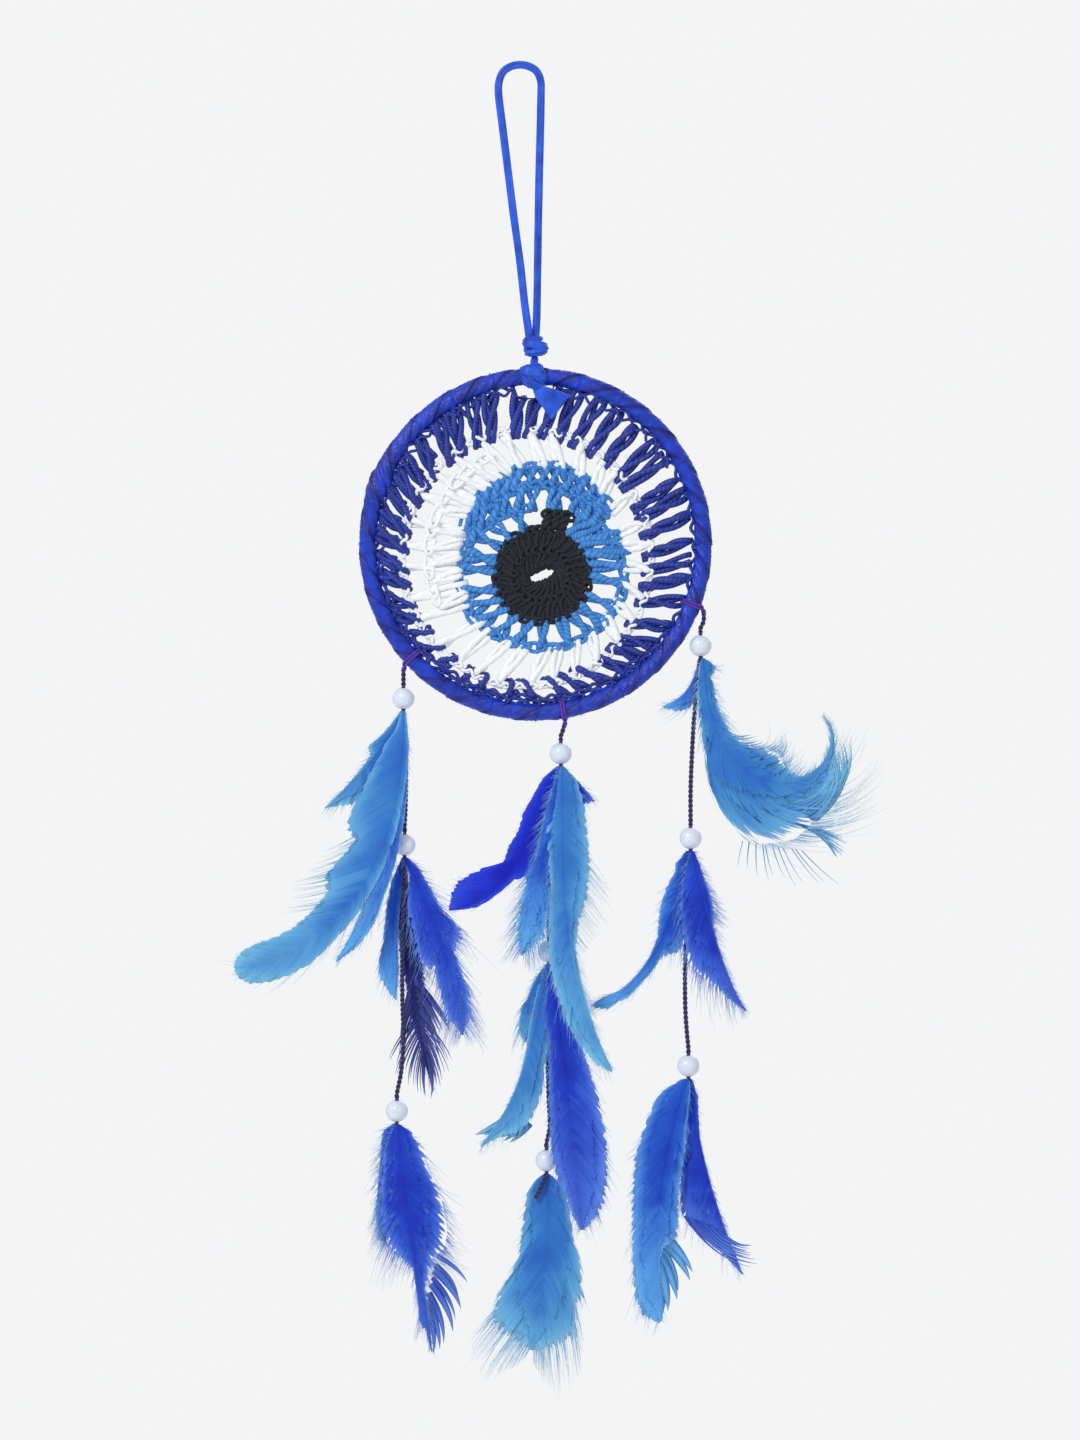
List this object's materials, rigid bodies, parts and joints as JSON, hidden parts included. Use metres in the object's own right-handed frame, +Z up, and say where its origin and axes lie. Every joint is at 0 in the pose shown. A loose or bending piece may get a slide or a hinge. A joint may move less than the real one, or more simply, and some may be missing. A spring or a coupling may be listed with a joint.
{
  "type": "evil eye wall hanging",
  "caption": "Crocheted evil eye in a ribbon-wrapped hoop, hung from a ribbon loop, with three hanging drops of cord, pearls and dyed feathers.",
  "frame": {"origin": "top of the hanging loop, on the middle of its ribbon, where a hook holds it", "axes": "+Z up along the hanging length; the front of the eye faces -Y; +X is to the viewer's right"},
  "size_m": [0.2859, 0.0233, 0.5877],
  "materials": {
    "steel_wire": "bright drawn wire",
    "satin_ribbon": "glossy satin",
    "black_yarn": "matt crochet cotton",
    "light_blue_yarn": "matt crochet cotton",
    "white_yarn": "matt crochet cotton",
    "dark_blue_yarn": "glossy crochet thread",
    "purple_thread": "glossy thread",
    "drop_cord": "twisted glossy thread",
    "pearl": "pearl lustre",
    "royal_feather": "dyed feather, soft sheen",
    "indigo_feather": "dyed feather, soft sheen",
    "mid_blue_feather": "dyed feather, soft sheen",
    "light_blue_feather": "dyed feather, soft sheen"
  },
  "bodies": {
    "hanger": {"hanger_ribbon": "satin_ribbon", "upper_knot": "satin_ribbon"},
    "neck": {"neck_ribbon": "satin_ribbon"},
    "lower_knot": {"hoop_knot": "satin_ribbon"},
    "eye": {"hoop_core": "steel_wire", "hoop_wrap": "satin_ribbon", "pupil_round": "black_yarn", "iris_round": "light_blue_yarn", "white_round": "white_yarn", "cobalt_round": "dark_blue_yarn", "lacing_thread": "dark_blue_yarn", "knot_tails": "satin_ribbon", "left_tie": "purple_thread", "centre_tie": "purple_thread", "right_tie": "purple_thread"},
    "left_thread": {"left_cord_a": "drop_cord"},
    "left_upper": {"left_bead_1": "pearl", "left_cord_b": "drop_cord", "left_sweep_feather": "light_blue_feather", "left_inner_feather": "mid_blue_feather", "left_short_feather": "light_blue_feather"},
    "left_middle": {"left_bead_2": "pearl", "left_cord_c": "drop_cord", "left_royal_feather": "royal_feather", "left_light_feather": "mid_blue_feather", "left_indigo_feather": "indigo_feather"},
    "left_lower": {"left_bead_3": "pearl", "left_cord_d": "drop_cord", "left_tail_feather": "royal_feather", "left_back_feather": "mid_blue_feather"},
    "centre_thread": {"centre_cord_a": "drop_cord"},
    "centre_upper": {"centre_bead_1": "pearl", "centre_cord_b": "drop_cord", "centre_bent_feather": "royal_feather", "centre_long_feather": "light_blue_feather", "centre_fluffy_feather": "mid_blue_feather", "centre_top_feather": "royal_feather"},
    "centre_middle": {"centre_bead_2": "pearl", "centre_cord_c": "drop_cord", "centre_left_feather": "light_blue_feather", "centre_royal_feather": "royal_feather", "centre_short_feather": "light_blue_feather"},
    "centre_lower": {"centre_bead_3": "pearl", "centre_cord_d": "drop_cord", "centre_tail_feather": "light_blue_feather"},
    "right_thread": {"right_cord_a": "drop_cord"},
    "right_upper": {"right_bead_1": "pearl", "right_cord_b": "drop_cord", "right_curl_feather": "light_blue_feather", "right_tip_feather": "mid_blue_feather"},
    "right_middle": {"right_bead_2": "pearl", "right_cord_c": "drop_cord", "right_left_feather": "mid_blue_feather", "right_royal_feather": "royal_feather"},
    "right_lower": {"right_bead_3": "pearl", "right_cord_d": "drop_cord", "right_tail_feather": "mid_blue_feather", "right_back_feather": "royal_feather"}
  },
  "joints": [
    {"name": "neck_sway", "type": "hinge", "parent": "hanger", "child": "neck", "pos_m": [0.0063, 0, -0.1358], "axis": [0, 1, 0], "range_deg": [-25, 25]},
    {"name": "eye_twist", "type": "hinge", "parent": "neck", "child": "lower_knot", "pos_m": [0.0063, 0, -0.1366], "axis": [0, 0, 1], "range_deg": [-120, 120], "stiffness_Nm_per_rad": 0.002},
    {"name": "eye_tilt", "type": "hinge", "parent": "lower_knot", "child": "eye", "pos_m": [0.006, 0, -0.1417], "axis": [1, 0, 0], "range_deg": [-45, 45]},
    {"name": "left_sway", "type": "hinge", "parent": "eye", "child": "left_thread", "pos_m": [-0.053, 0, -0.275], "axis": [0, 1, 0], "range_deg": [-3, 20]},
    {"name": "left_swing", "type": "hinge", "parent": "left_thread", "child": "left_upper", "pos_m": [-0.053, 0, -0.2815], "axis": [1, 0, 0], "range_deg": [-45, 45]},
    {"name": "left_middle_swing", "type": "hinge", "parent": "left_upper", "child": "left_middle", "pos_m": [-0.0525, 0, -0.348], "axis": [1, 0, 0], "range_deg": [-3, 45]},
    {"name": "left_lower_swing", "type": "hinge", "parent": "left_middle", "child": "left_lower", "pos_m": [-0.056, 0, -0.469], "axis": [1, 0, 0], "range_deg": [-45, 45]},
    {"name": "centre_sway", "type": "hinge", "parent": "eye", "child": "centre_thread", "pos_m": [0.02, 0, -0.3005], "axis": [0, 1, 0], "range_deg": [-3, 3]},
    {"name": "centre_swing", "type": "hinge", "parent": "centre_thread", "child": "centre_upper", "pos_m": [0.0185, 0, -0.3065], "axis": [1, 0, 0], "range_deg": [-45, 45]},
    {"name": "centre_middle_swing", "type": "hinge", "parent": "centre_upper", "child": "centre_middle", "pos_m": [0.013, 0, -0.3965], "axis": [1, 0, 0], "range_deg": [-3, 45]},
    {"name": "centre_lower_swing", "type": "hinge", "parent": "centre_middle", "child": "centre_lower", "pos_m": [0.012, 0, -0.4915], "axis": [1, 0, 0], "range_deg": [0, 45]},
    {"name": "right_sway", "type": "hinge", "parent": "eye", "child": "right_thread", "pos_m": [0.0835, 0, -0.2495], "axis": [0, 1, 0], "range_deg": [-20, 3]},
    {"name": "right_swing", "type": "hinge", "parent": "right_thread", "child": "right_upper", "pos_m": [0.082, 0, -0.2575], "axis": [1, 0, 0], "range_deg": [-45, 45]},
    {"name": "right_middle_swing", "type": "hinge", "parent": "right_upper", "child": "right_middle", "pos_m": [0.0775, 0, -0.345], "axis": [1, 0, 0], "range_deg": [-45, 45]},
    {"name": "right_lower_swing", "type": "hinge", "parent": "right_middle", "child": "right_lower", "pos_m": [0.0765, 0, -0.4485], "axis": [1, 0, 0], "range_deg": [-45, 45]}
  ]
}
